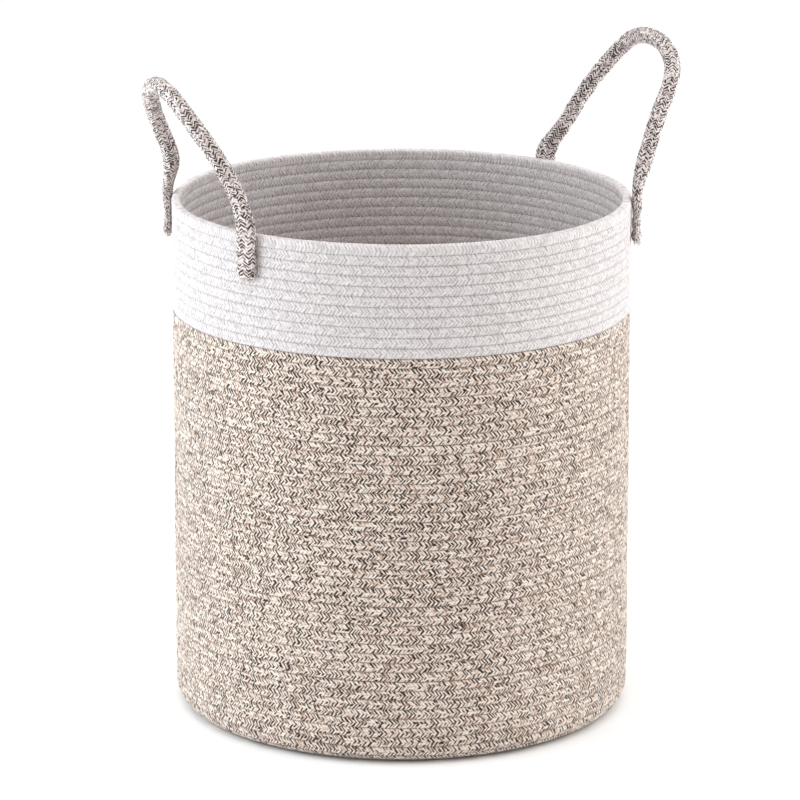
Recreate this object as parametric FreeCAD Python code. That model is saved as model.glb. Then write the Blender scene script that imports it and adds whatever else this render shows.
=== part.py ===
"""Coiled rope laundry hamper with two rope handles, in millimetres.

One heather rope is wound flat for the base and then upwards for the wall. A white rope makes
the band at the top. Each turn is sewn to the next with a zigzag seam. Two rope loops are the
handles: both ends of each are sewn flat to the outside of the white band.

The origin is the middle of the underside, +Z is up, and +X goes through the middle of the
right handle.
"""
import FreeCAD, Part
import math
import os

Vector = FreeCAD.Vector

# Driving dimensions
OUTER_RADIUS = 200.0
ROPE_THICKNESS = 7.5
HEATHER_ROWS = 43
HEATHER_PITCH = 8.3         # from one row to the next
WHITE_ROWS = 11
WHITE_PITCH = 8.8
CORNER_RADIUS = 15.0        # of the rope's centreline, where the base turns up into the wall
GROOVE_DEPTH = 1.1          # between two rows
THREAD_HALF_WIDTH = 0.4
THREAD_LIFT = 0.55          # a thread's middle above the bottom of its groove

HANDLE_DIAMETER = 14.0
CORE_DIAMETER = 8.2         # of the filler inside the handle's braided cover
CORE_PLAY = 0.1             # between the filler and the cover
HANDLE_HALF_ANGLE = 27.5    # from the handle's middle to each of its ends, round the rim
HANDLE_AXIS_RADIUS = OUTER_RADIUS + 4
HINGE_RISE = 8.0            # from the rim to where the loop bends

END_LENGTH = 42.0           # the sewn part of the handle, down from the rim
END_WIDTH = 20.0
END_TOP_THICKNESS = 10.4
END_SEWN_THICKNESS = 7.2
END_TIP_THICKNESS = 9.2
END_GAP = 0.1               # from the wall
END_RISE = 0.5              # above the rim
END_CORE_WIDTH = 11.0
END_CORE_THICKNESS = 3.0
END_CORE_LENGTH = 36.0
BAR_HEIGHTS = (15.5, 27.5)  # of the two bar tacks, down from the rim
BAR_SIZE = (0.8, 16.5, 2.6)
BAR_GAP = 0.05

# Worked out from those
BAND_HEIGHT = WHITE_ROWS * WHITE_PITCH
HEIGHT = HEATHER_ROWS * HEATHER_PITCH + BAND_HEIGHT
HALF_ROPE = ROPE_THICKNESS / 2
WALL_RADIUS = OUTER_RADIUS - HALF_ROPE
FLAT_LENGTH = WALL_RADIUS - CORNER_RADIUS
CORNER_LENGTH = CORNER_RADIUS * math.pi / 2
CORNER_TOP = HALF_ROPE + CORNER_RADIUS
COIL_LENGTH = FLAT_LENGTH + CORNER_LENGTH + HEIGHT - CORNER_TOP
WALL_START = COIL_LENGTH - HEIGHT
BAND_START = COIL_LENGTH - BAND_HEIGHT
BASE_ROWS = int(WALL_START // HEATHER_PITCH)
CENTRE_RADIUS = WALL_START - BASE_ROWS * HEATHER_PITCH

# Route of each handle's loop from one end to the middle, as distance along the handle from its
# middle, distance out from the hamper's axis, and height above the rim. The other half mirrors it.
EXIT_ALONG = HANDLE_AXIS_RADIUS * math.sin(math.radians(HANDLE_HALF_ANGLE))
EXIT_OUT = HANDLE_AXIS_RADIUS * math.cos(math.radians(HANDLE_HALF_ANGLE))
LOOP_ROUTES = {
    "left": [(EXIT_ALONG, EXIT_OUT, HINGE_RISE), (76, 182.5, 34), (68, 199, 66), (43.5, 216, 97.5), (16, 221.5, 112.5)],
    "right": [(EXIT_ALONG, EXIT_OUT, HINGE_RISE), (82.5, 194.5, 32), (73, 210, 65), (58, 235, 102), (26, 240, 122)],
}
SIDE_TURN = {"left": 180.0, "right": 0.0}
RUN_SHARE = 0.45            # of the shorter run that an arc may use on each side of its point

UP = Vector(0, 0, 1)
ORIGIN = Vector(0, 0, 0)


def save(shape, node):
    """Writes one node and prints what it holds."""
    shape.exportStep("parts/" + node + ".step")
    print(f"{node}: {len(shape.Solids)} solid(s), valid {shape.isValid()}, {shape.Volume / 1000:.2f} cm3")


def coil_point(along, outward):
    """A point of the coil's half section, a distance along the rope's centreline from the middle
    of the base, and a distance outwards from that line."""
    if along <= FLAT_LENGTH:
        return Vector(along, 0, HALF_ROPE - outward)
    if along < FLAT_LENGTH + CORNER_LENGTH:
        turn = (along - FLAT_LENGTH) / CORNER_RADIUS
        reach = CORNER_RADIUS + outward
        return Vector(FLAT_LENGTH + reach * math.sin(turn), 0, CORNER_TOP - reach * math.cos(turn))
    return Vector(WALL_RADIUS + outward, 0, CORNER_TOP + along - FLAT_LENGTH - CORNER_LENGTH)


def row_edges(start, rows, pitch, side):
    """One arc for each row, from groove to groove, on the outside (side 1) or the inside (-1)."""
    groove = side * (HALF_ROPE - GROOVE_DEPTH)
    crest = side * HALF_ROPE
    edges = []
    for row in range(rows):
        low = start + row * pitch
        middle = low + pitch / 2
        high = low + pitch
        arc = Part.Arc(coil_point(low, groove), coil_point(middle, crest), coil_point(high, groove))
        edges.append(arc.toShape())
    return edges


def line(start, end):
    return Part.makeLine(start, end)


def revolved(edges):
    """The closed outline turned once round the hamper's axis."""
    outline = Part.Wire(Part.sortEdges(edges)[0])
    return Part.Face(outline).revolve(ORIGIN, UP, 360)


def coil_rows(start, rows, pitch):
    """A stretch of the wall, row by row, as one closed ring."""
    end = start + rows * pitch
    groove = HALF_ROPE - GROOVE_DEPTH
    edges = row_edges(start, rows, pitch, 1) + row_edges(start, rows, pitch, -1)
    edges.append(line(coil_point(start, groove), coil_point(start, -groove)))
    edges.append(line(coil_point(end, groove), coil_point(end, -groove)))
    return revolved(edges)


def base_coil():
    """The flat coil of the base, with the short start of the rope as a disc in its middle."""
    groove = HALF_ROPE - GROOVE_DEPTH
    shoulder = CENTRE_RADIUS - GROOVE_DEPTH
    edges = [line(coil_point(WALL_START, groove), coil_point(WALL_START, -groove))]
    for side in (1, -1):
        edges += row_edges(CENTRE_RADIUS, BASE_ROWS, HEATHER_PITCH, side)
        edge_of_disc = coil_point(shoulder, side * HALF_ROPE)
        edges.append(line(coil_point(CENTRE_RADIUS, side * groove), edge_of_disc))
        edges.append(line(edge_of_disc, coil_point(0, side * HALF_ROPE)))
    edges.append(line(coil_point(0, HALF_ROPE), coil_point(0, -HALF_ROPE)))
    return revolved(edges)


def seam_threads(start, rows, pitch, side):
    """One thread ring in each groove of a stretch of coil. A ring has a square section, on edge."""
    middle = side * (HALF_ROPE - GROOVE_DEPTH + THREAD_LIFT)
    rings = []
    for row in range(rows):
        seam = start + row * pitch
        corners = [
            coil_point(seam, middle + THREAD_HALF_WIDTH),
            coil_point(seam + THREAD_HALF_WIDTH, middle),
            coil_point(seam, middle - THREAD_HALF_WIDTH),
            coil_point(seam - THREAD_HALF_WIDTH, middle),
        ]
        outline = Part.makePolygon(corners + corners[:1])
        rings.append(Part.Face(outline).revolve(ORIGIN, UP, 360))
    return Part.makeCompound(rings)


def rope_route(points):
    """Straight runs joined by tangent arcs, each as large as its two runs allow."""
    edges = []
    radii = []
    last = points[0]
    for before, point, after in zip(points, points[1:], points[2:]):
        run_in = point - before
        run_out = after - point
        half_turn = run_in.getAngle(run_out) / 2
        reach = RUN_SHARE * min(run_in.Length, run_out.Length)
        arc_start = point - run_in.normalize() * reach
        arc_end = point + run_out.normalize() * reach
        radius = reach / math.tan(half_turn)
        chord_middle = (arc_start + arc_end) / 2
        to_point = (point - chord_middle).normalize()
        arc_middle = chord_middle + to_point * radius * (1 - math.cos(half_turn))
        edges.append(line(last, arc_start))
        edges.append(Part.Arc(arc_start, arc_middle, arc_end).toShape())
        radii.append(radius)
        last = arc_end
    edges.append(line(last, points[-1]))
    return edges, radii


def swept(edges, diameter):
    """A round bar along the route."""
    start = edges[0].Vertexes[0].Point
    direction = edges[0].Vertexes[1].Point - start
    section = Part.Wire(Part.makeCircle(diameter / 2, start, direction))
    return Part.Wire(edges).makePipeShell([section], True, False)


def rounded_end(point, outwards, diameter, bore):
    """Half a ball where the loop bends, with the hole that the filler fills."""
    ball = Part.makeSphere(diameter / 2, point, outwards, 0, 90, 360)
    hole = Part.makeCylinder(bore / 2, diameter, point, outwards)
    return ball.cut(hole)


def handle_loop(side):
    """The free part of one handle: its braided cover and the filler inside."""
    half = [Vector(out, along, HEIGHT + rise) for along, out, rise in LOOP_ROUTES[side]]
    mirrored = [Vector(point.x, -point.y, point.z) for point in reversed(half)]
    points = half + mirrored
    edges, radii = rope_route(points)
    length = sum(edge.Length for edge in edges)
    bore = CORE_DIAMETER + 2 * CORE_PLAY
    tube = swept(edges, HANDLE_DIAMETER)
    section = math.pi * HANDLE_DIAMETER ** 2 / 4
    print(f"{side} loop: {length:.1f} mm, radii " + ", ".join(f"{r:.0f}" for r in radii))
    print(f"{side} loop: volume over section times length {tube.Volume / (section * length):.4f}")
    cover = tube.cut(swept(edges, bore))
    for point, inner in ((points[0], points[1]), (points[-1], points[-2])):
        cover = cover.fuse(rounded_end(point, point - inner, HANDLE_DIAMETER, bore))
    core = swept(edges, CORE_DIAMETER)
    return cover, core


def end_outline(width, length, top):
    """The sewn end seen from outside: straight sides and a blunt round tip."""
    tip_rise = 6.0
    low = top - length
    left = Vector(0, -width / 2, low + tip_rise)
    right = Vector(0, width / 2, low + tip_rise)
    upper_right = Vector(0, width / 2, top)
    upper_left = Vector(0, -width / 2, top)
    edges = [
        Part.Arc(left, Vector(0, 0, low), right).toShape(),
        line(right, upper_right),
        line(upper_right, upper_left),
        line(upper_left, left),
    ]
    return Part.Face(Part.Wire(edges))


def end_profile():
    """The sewn end seen from the side: pressed flat by its tacks, and fuller at the rim and tip."""
    inner = OUTER_RADIUS + END_GAP
    top = HEIGHT + END_RISE
    heights = [
        (END_TOP_THICKNESS, top),
        (END_TOP_THICKNESS, HEIGHT - 6),
        (END_SEWN_THICKNESS, HEIGHT - 12),
        (END_SEWN_THICKNESS, HEIGHT - 30),
        (END_TIP_THICKNESS, HEIGHT - 36),
        (END_TIP_THICKNESS - 1, HEIGHT - END_LENGTH),
    ]
    corners = [Vector(inner, 0, top)]
    corners += [Vector(inner + thickness, 0, z) for thickness, z in heights]
    corners.append(Vector(inner, 0, HEIGHT - END_LENGTH))
    return Part.Face(Part.makePolygon(corners + corners[:1]))


def sewn_end():
    """One sewn end, its filler and its two bar tacks, on the +X side of the wall."""
    top = HEIGHT + END_RISE
    inner = OUTER_RADIUS + END_GAP
    block = end_profile().extrude(Vector(0, 2 * END_WIDTH, 0))
    block.translate(Vector(0, -END_WIDTH, 0))
    outline = end_outline(END_WIDTH, END_LENGTH + END_RISE, top).extrude(Vector(OUTER_RADIUS * 2, 0, 0))
    core_inner = inner + (END_SEWN_THICKNESS - END_CORE_THICKNESS) / 2
    core = Part.makeBox(END_CORE_THICKNESS, END_CORE_WIDTH, END_CORE_LENGTH)
    core.translate(Vector(core_inner, -END_CORE_WIDTH / 2, top - END_CORE_LENGTH))
    pocket = Part.makeBox(END_CORE_THICKNESS + 2 * CORE_PLAY, END_CORE_WIDTH + 2 * CORE_PLAY, END_CORE_LENGTH)
    pocket.translate(Vector(core_inner - CORE_PLAY, -END_CORE_WIDTH / 2 - CORE_PLAY, top - END_CORE_LENGTH))
    cover = block.common(outline).cut(pocket)
    bars = []
    for down in BAR_HEIGHTS:
        bar = Part.makeBox(*BAR_SIZE)
        face = inner + END_SEWN_THICKNESS + BAR_GAP
        bar.translate(Vector(face, -BAR_SIZE[1] / 2, HEIGHT - down - BAR_SIZE[2] / 2))
        bars.append(bar)
    return {"cover": cover, "core": core, "stitching": Part.makeCompound(bars)}


def turned(shape, angle):
    """A copy turned about the hamper's axis."""
    copy = shape.copy()
    copy.rotate(ORIGIN, UP, angle)
    return copy


# The coil, from the middle of the base to the rim: each stretch's start, rows and pitch
STRETCHES = {
    "base": (CENTRE_RADIUS, BASE_ROWS, HEATHER_PITCH),
    "wall": (WALL_START, HEATHER_ROWS, HEATHER_PITCH),
    "band": (BAND_START, WHITE_ROWS, WHITE_PITCH),
}
save(base_coil(), "base_coil")
save(coil_rows(*STRETCHES["wall"]), "heather_wall_coil")
save(coil_rows(*STRETCHES["band"]), "white_band_coil")

# The seams, outside and inside. A stretch's first seam joins it to the stretch before it.
for stretch, (start, rows, pitch) in STRETCHES.items():
    save(seam_threads(start, rows, pitch, 1), stretch + "_outer_seam_thread")
    save(seam_threads(start, rows, pitch, -1), stretch + "_inner_seam_thread")

# The handles
END_PARTS = sewn_end()
for side, side_turn in SIDE_TURN.items():
    loop_cover, loop_core = handle_loop(side)
    save(turned(loop_cover, side_turn), side + "_handle_loop_cover")
    save(turned(loop_core, side_turn), side + "_handle_loop_core")
    for end, end_turn in (("front", -HANDLE_HALF_ANGLE), ("back", HANDLE_HALF_ANGLE)):
        place = side_turn + (end_turn if side == "right" else -end_turn)
        for piece, shape in END_PARTS.items():
            save(turned(shape, place), f"{side}_handle_{end}_end_{piece}")
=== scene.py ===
# %% [markdown]
# # A coiled rope laundry hamper
#
# The hamper is sewn from braided cotton rope: a flat coil for the base, a tall coil for the wall,
# a white band at the top, and two loops of thicker rope for handles. This lesson builds its looks
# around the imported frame, which already holds the true sizes and the two handle hinges.

# %% Load the frame
import math

import bpy
import numpy as np
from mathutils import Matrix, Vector


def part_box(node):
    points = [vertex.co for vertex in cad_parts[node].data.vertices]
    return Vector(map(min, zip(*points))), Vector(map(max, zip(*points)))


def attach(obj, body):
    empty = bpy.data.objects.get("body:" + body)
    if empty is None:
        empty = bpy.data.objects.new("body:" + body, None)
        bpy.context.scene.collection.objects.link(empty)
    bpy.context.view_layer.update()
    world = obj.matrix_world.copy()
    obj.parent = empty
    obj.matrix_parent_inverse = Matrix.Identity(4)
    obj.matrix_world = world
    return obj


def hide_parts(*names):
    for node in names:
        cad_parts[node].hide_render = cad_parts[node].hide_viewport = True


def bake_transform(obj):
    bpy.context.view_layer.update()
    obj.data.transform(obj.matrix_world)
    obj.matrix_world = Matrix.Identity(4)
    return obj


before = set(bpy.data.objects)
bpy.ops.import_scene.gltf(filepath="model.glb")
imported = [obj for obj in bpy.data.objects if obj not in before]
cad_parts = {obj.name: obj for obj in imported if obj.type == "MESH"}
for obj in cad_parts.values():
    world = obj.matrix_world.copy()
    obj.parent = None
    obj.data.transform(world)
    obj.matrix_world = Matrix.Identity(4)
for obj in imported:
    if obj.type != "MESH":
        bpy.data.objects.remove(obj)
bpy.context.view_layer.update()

scene = bpy.context.scene
MM = 0.001

# %% [markdown]
# ## Sizes
#
# Everything follows from the frame's boxes and from how the rope is coiled: the pitch from row to
# row, the rope's thickness, and the small radius where the base turns up into the wall.

# %% Sizes of the coil
wall_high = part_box("heather_wall_coil")[1]
band_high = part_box("white_band_coil")[1]
HEIGHT = band_high.z
HEATHER_PITCH = 8.3 * MM
WHITE_PITCH = 8.8 * MM
ROPE_THICKNESS = 7.5 * MM
OUTER_RADIUS = 200 * MM
CORNER_RADIUS = 15 * MM
GROOVE_DEPTH = 0.4 * MM
HEATHER_ROWS = round(wall_high.z / HEATHER_PITCH)
WHITE_ROWS = round((band_high.z - wall_high.z) / WHITE_PITCH)

HALF_ROPE = ROPE_THICKNESS / 2
FLAT_LENGTH = OUTER_RADIUS - HALF_ROPE - CORNER_RADIUS
CORNER_TOP = HALF_ROPE + CORNER_RADIUS
COIL_LENGTH = FLAT_LENGTH + CORNER_RADIUS * math.pi / 2 + HEIGHT - CORNER_TOP
WALL_START = COIL_LENGTH - HEIGHT
BAND_START = COIL_LENGTH - WHITE_ROWS * WHITE_PITCH
print(f"{HEATHER_ROWS} heather rows and {WHITE_ROWS} white rows, {HEIGHT * 1000:.0f} mm high")

# %% [markdown]
# ## Camera and light
#
# The camera comes first, so that every later piece is judged in the same picture. It stands far
# back with a long lens, 15 degrees above the horizon, and sees the handles' line turned by 23
# degrees. Two broad lamps, one on each side, make the round wall bright at both edges and
# softer in the middle, on a plain pale floor.

# %% Camera
CAMERA_AZIMUTH = math.radians(-23)
CAMERA_DISTANCE = 3.843
CAMERA_HEIGHT = 1.290
AIM_HEIGHT = 0.2692
AIM_SIDE = -1.3 * MM         # of the hamper's axis, to the right
LENS = 203.5

camera_data = bpy.data.cameras.new("camera")
camera_data.lens = LENS
camera_data.clip_end = 50
camera = bpy.data.objects.new("camera", camera_data)
camera.location = (
    math.sin(CAMERA_AZIMUTH) * CAMERA_DISTANCE,
    -math.cos(CAMERA_AZIMUTH) * CAMERA_DISTANCE,
    CAMERA_HEIGHT,
)
aim = Vector((math.cos(CAMERA_AZIMUTH) * AIM_SIDE, math.sin(CAMERA_AZIMUTH) * AIM_SIDE, AIM_HEIGHT))
camera.rotation_mode = "QUATERNION"
camera.rotation_quaternion = (aim - camera.location).to_track_quat("-Z", "Y")
scene.collection.objects.link(camera)
scene.camera = camera


# %% Floor and lamps
def pale_material(name, colour, roughness=0.9):
    material = bpy.data.materials.new(name)
    material.use_nodes = True
    shader = material.node_tree.nodes["Principled BSDF"]
    shader.inputs["Base Color"].default_value = (*colour, 1)
    shader.inputs["Roughness"].default_value = roughness
    return material


def area_lamp(name, azimuth, height, distance, size, watts, colour=(1, 1, 1)):
    """A square lamp that looks at the hamper's middle, at this azimuth round it."""
    data = bpy.data.lights.new(name, "AREA")
    data.shape = "RECTANGLE"
    data.size, data.size_y = size
    data.energy = watts
    data.color = colour
    lamp = bpy.data.objects.new(name, data)
    angle = math.radians(azimuth)
    lamp.location = (math.sin(angle) * distance, -math.cos(angle) * distance, height)
    target = Vector((0, 0, HEIGHT / 2))
    lamp.rotation_mode = "QUATERNION"
    lamp.rotation_quaternion = (target - lamp.location).to_track_quat("-Z", "Y")
    scene.collection.objects.link(lamp)
    return lamp


floor_mesh = bpy.data.meshes.new("floor")
FLOOR_HALF = 12.0
floor_mesh.from_pydata(
    [(-FLOOR_HALF, -FLOOR_HALF, 0), (FLOOR_HALF, -FLOOR_HALF, 0),
     (FLOOR_HALF, FLOOR_HALF, 0), (-FLOOR_HALF, FLOOR_HALF, 0)],
    [], [(0, 1, 2, 3)],
)
floor = bpy.data.objects.new("floor", floor_mesh)
floor_mesh.materials.append(pale_material("floor_white", (0.93, 0.93, 0.93)))
scene.collection.objects.link(floor)

area_lamp("left_lamp", -105, 0.6, 1.5, (1.5, 1.5), 22, (0.85, 0.94, 1.0))
area_lamp("right_lamp", 69, 0.6, 1.5, (1.5, 1.5), 17, (0.96, 1.0, 1.0))

overhead_data = bpy.data.lights.new("overhead", "SUN")
overhead_data.energy = 2.0
overhead_data.angle = math.radians(70)
overhead = bpy.data.objects.new("overhead", overhead_data)
scene.collection.objects.link(overhead)

world = bpy.data.worlds.new("pale_room")
world.use_nodes = True
background = world.node_tree.nodes["Background"]
background.inputs["Color"].default_value = (1, 1, 1, 1)
background.inputs["Strength"].default_value = 0.45
scene.world = world
scene.view_settings.view_transform = "Standard"

# %% [markdown]
# ## Short words for node trees
#
# Both the shapes and the finishes are node trees with a lot of arithmetic. A small wrapper lets
# that arithmetic be written as sums and products, and each operation still becomes a real node.


# %% A number inside a node tree
class Number:
    """An output of a node tree. Arithmetic on it adds the math nodes."""

    def __init__(self, maker, socket):
        self.maker, self.socket = maker, socket

    def __add__(self, other):
        return self.maker.math("ADD", self, other)

    def __radd__(self, other):
        return self.maker.math("ADD", other, self)

    def __sub__(self, other):
        return self.maker.math("SUBTRACT", self, other)

    def __rsub__(self, other):
        return self.maker.math("SUBTRACT", other, self)

    def __mul__(self, other):
        return self.maker.math("MULTIPLY", self, other)

    def __rmul__(self, other):
        return self.maker.math("MULTIPLY", other, self)

    def __truediv__(self, other):
        return self.maker.math("DIVIDE", self, other)

    def __pow__(self, other):
        return self.maker.math("POWER", self, other)


class Maker:
    """Adds nodes to a geometry or shader tree."""

    def __init__(self, tree):
        self.tree = tree

    def node(self, kind, inputs=None, **settings):
        node = self.tree.nodes.new(kind)
        for name, value in settings.items():
            setattr(node, name, value)
        for name, value in (inputs or {}).items():
            self.plug(value, node.inputs[name])
        return node

    def plug(self, value, socket):
        if isinstance(value, Number):
            value = value.socket
        if isinstance(value, bpy.types.NodeSocket):
            self.tree.links.new(value, socket)
        else:
            socket.default_value = value

    def math(self, operation, *values):
        node = self.node("ShaderNodeMath", operation=operation)
        for value, socket in zip(values, node.inputs):
            self.plug(value, socket)
        return Number(self, node.outputs[0])

    def least(self, a, b):
        return self.math("MINIMUM", a, b)

    def most(self, a, b):
        return self.math("MAXIMUM", a, b)

    def clamp(self, value, low=0.0, high=1.0):
        return self.least(self.most(value, low), high)

    def is_over(self, value, limit):
        return self.math("GREATER_THAN", value, limit)

    def is_under(self, value, limit):
        return self.math("LESS_THAN", value, limit)

    def root(self, value):
        return self.math("SQRT", value)

    def squared(self, value, power):
        """The value to this power, with its sign kept."""
        return self.math("SIGN", value) * self.size(value) ** power

    def sine(self, value):
        return self.math("SINE", value)

    def cosine(self, value):
        return self.math("COSINE", value)

    def floor(self, value):
        return self.math("FLOOR", value)

    def fraction(self, value):
        return self.math("FRACT", value)

    def size(self, value):
        return self.math("ABSOLUTE", value)

    def tent(self, value):
        """1 at whole numbers, falling straight to 0 half way between them."""
        return self.size(2 * self.fraction(value) - 1)

    def vector(self, x, y, z=0.0):
        node = self.node("ShaderNodeCombineXYZ", {"X": x, "Y": y, "Z": z})
        return node.outputs[0]

    def parts(self, vector):
        node = self.node("ShaderNodeSeparateXYZ", {"Vector": vector})
        return [Number(self, socket) for socket in node.outputs]

    def vectors(self, operation, *values, output=0):
        node = self.node("ShaderNodeVectorMath", operation=operation)
        for value, socket in zip(values, node.inputs):
            self.plug(value, socket)
        return node.outputs[output]

    def scaled(self, vector, factor):
        node = self.node("ShaderNodeVectorMath", {"Scale": factor}, operation="SCALE")
        self.plug(vector, node.inputs[0])
        return node.outputs[0]

    def smooth(self, value, start, end):
        """0 before start, 1 after end, and an easy slope between them."""
        node = self.node(
            "ShaderNodeMapRange", {"Value": value, "From Min": start, "From Max": end},
            interpolation_type="SMOOTHSTEP",
        )
        return Number(self, node.outputs[0])

    def noise(self, vector, scale, detail=1.0):
        """Smooth noise from 0 to 1."""
        node = self.node("ShaderNodeTexNoise", {"Vector": vector, "Scale": scale, "Detail": detail})
        return Number(self, node.outputs[0])

    def chance(self, vector):
        """One random number for each whole-numbered cell."""
        node = self.node("ShaderNodeTexWhiteNoise", {"Vector": vector})
        return Number(self, node.outputs["Value"])


# %% Trees with named inputs
SOCKETS = {
    "number": "NodeSocketFloat", "count": "NodeSocketInt", "vector": "NodeSocketVector",
    "shape": "NodeSocketGeometry", "material": "NodeSocketMaterial", "colour": "NodeSocketColor",
}


def new_tree(name, kind, inputs, outputs):
    """A node group with these named inputs and outputs: (maker, its inputs by name, its output node)."""
    tree = bpy.data.node_groups.new(name, kind)
    for direction, sockets in (("INPUT", inputs), ("OUTPUT", outputs)):
        for label, (form, default) in sockets.items():
            socket = tree.interface.new_socket(label, in_out=direction, socket_type=SOCKETS[form])
            if default is not None:
                socket.default_value = default
    maker = Maker(tree)
    entry = tree.nodes.new("NodeGroupInput")
    given = {}
    for label, (form, default) in inputs.items():
        socket = entry.outputs[label]
        given[label] = Number(maker, socket) if form in ("number", "count") else socket
    return maker, given, tree.nodes.new("NodeGroupOutput")


def grow(name, tree, values, route=None):
    """Runs a geometry tree with these sizes and keeps what it makes as a plain mesh object.
    route is a list of points, given to the tree as a chain of edges."""
    mesh = bpy.data.meshes.new(name + "_source")
    if route is not None:
        links = [(i, i + 1) for i in range(len(route) - 1)]
        mesh.from_pydata([tuple(point) for point in route], links, [])
    source = bpy.data.objects.new(name + "_source", mesh)
    scene.collection.objects.link(source)
    modifier = source.modifiers.new("tree", "NODES")
    modifier.node_group = tree
    for item in tree.interface.items_tree:
        if item.in_out == "INPUT" and item.name in values:
            modifier[item.identifier] = values[item.name]
    bpy.context.view_layer.update()
    graph = bpy.context.evaluated_depsgraph_get()
    made = bpy.data.meshes.new_from_object(
        source.evaluated_get(graph), preserve_all_data_layers=True, depsgraph=graph
    )
    source.modifiers.clear()
    bpy.data.objects.remove(source)
    bpy.data.meshes.remove(mesh)
    made.name = name
    piece = bpy.data.objects.new(name, made)
    scene.collection.objects.link(piece)
    print(f"{name}: {len(made.vertices)} points, {len(made.polygons)} faces")
    return piece


# %% [markdown]
# ## The finish of braided rope
#
# The cover of the rope is a flat plait. Each strand shows as a short slanted stroke, and the
# strokes of two neighbouring columns lean opposite ways, so a row looks like a line of arrow
# heads. The pieces carry a map named braid for this: its first number counts strokes along the
# rope and its second counts columns round it. One shader group turns the map into a random number
# for each yarn, a mask of painted shade in the gaps between strands (in places it stands for
# dark yarn too), a mask of painted shade along the seam grooves, and a height, and the three rope
# finishes share it.

# %% Shader group: braid
UNEVEN_STROKES = 1.9        # the strands of a column are not quite even
UNEVEN_PACE = 0.30          # how fast that changes along the rope
SEAM_SHARPNESS = 8.0        # a higher power gives a thinner line of painted shade between two rows
maker, given, exit_node = new_tree(
    "braid", "ShaderNodeTree",
    {"Braid": ("vector", None), "Yarns": ("number", 2.0), "Gap width": ("number", 0.4),
     "Stitches": ("number", 1.0), "Seed": ("number", 0.0)},
    {"Tone": ("number", None), "Gap": ("number", None), "Seam": ("number", None), "Height": ("number", None)},
)
stroke, column, _ = maker.parts(given["Braid"])
column_index = maker.floor(column)
uneven = maker.noise(maker.vector(stroke * UNEVEN_PACE, column_index * 5.3, given["Seed"]), 1.0, 1.0)
stroke = stroke + (uneven - 0.5) * UNEVEN_STROKES
across = maker.tent(column)                       # 1 where two columns meet
strand_side = maker.tent(stroke + 0.5)            # 1 between two strands, 0 along a strand's middle
yarn_place = (stroke + 0.5) * given["Yarns"]
yarn_side = maker.tent(yarn_place)
tone = maker.chance(maker.vector(maker.floor(yarn_place), maker.floor(column * 2), given["Seed"]))
# Painted shade in the gaps between strands, darker where a gap is deeper; in places it also stands for dark
# yarn.
depth = maker.chance(maker.vector(maker.floor(stroke), maker.floor(column * 2), given["Seed"] + 7))
gap_width = given["Gap width"] * (0.45 + depth)
gap = maker.smooth(strand_side, 1 - gap_width, 1 - gap_width * 0.45)
gap = gap * (0.12 + 0.88 * maker.smooth(depth, 0.15, 0.6))
tuck = maker.smooth(across, 0.6, 1.0)             # where a strand dives under its neighbour
# Painted shade where a strand dives under its neighbour.
gap = maker.most(gap, tuck * strand_side * 0.6)
# Painted shade along the seam groove between two rows, broken into dots along the rope.
seam = maker.tent(column * 0.5) ** SEAM_SHARPNESS
dots = maker.smooth(maker.tent(stroke * given["Stitches"]), 0.25, 0.75)
height = (1 - strand_side * strand_side) * 0.7 + (1 - yarn_side * yarn_side) * 0.2
height = height * (1 - 0.4 * tuck) - seam * 0.3
for label, value in (("Tone", tone), ("Gap", gap), ("Seam", seam * (0.3 + 0.7 * dots)), ("Height", height)):
    maker.plug(value, exit_node.inputs[label])
BRAID = maker.tree

# %% Shader group: fibre
maker, given, exit_node = new_tree(
    "fibre", "ShaderNodeTree",
    {"Position": ("vector", None), "Scale": ("number", 900.0)},
    {"Fuzz": ("number", None), "Cloud": ("number", None)},
)
maker.plug(maker.noise(given["Position"], given["Scale"], 3.0), exit_node.inputs["Fuzz"])
maker.plug(maker.noise(given["Position"], 14.0, 2.0), exit_node.inputs["Cloud"])
FIBRE = maker.tree


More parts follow.
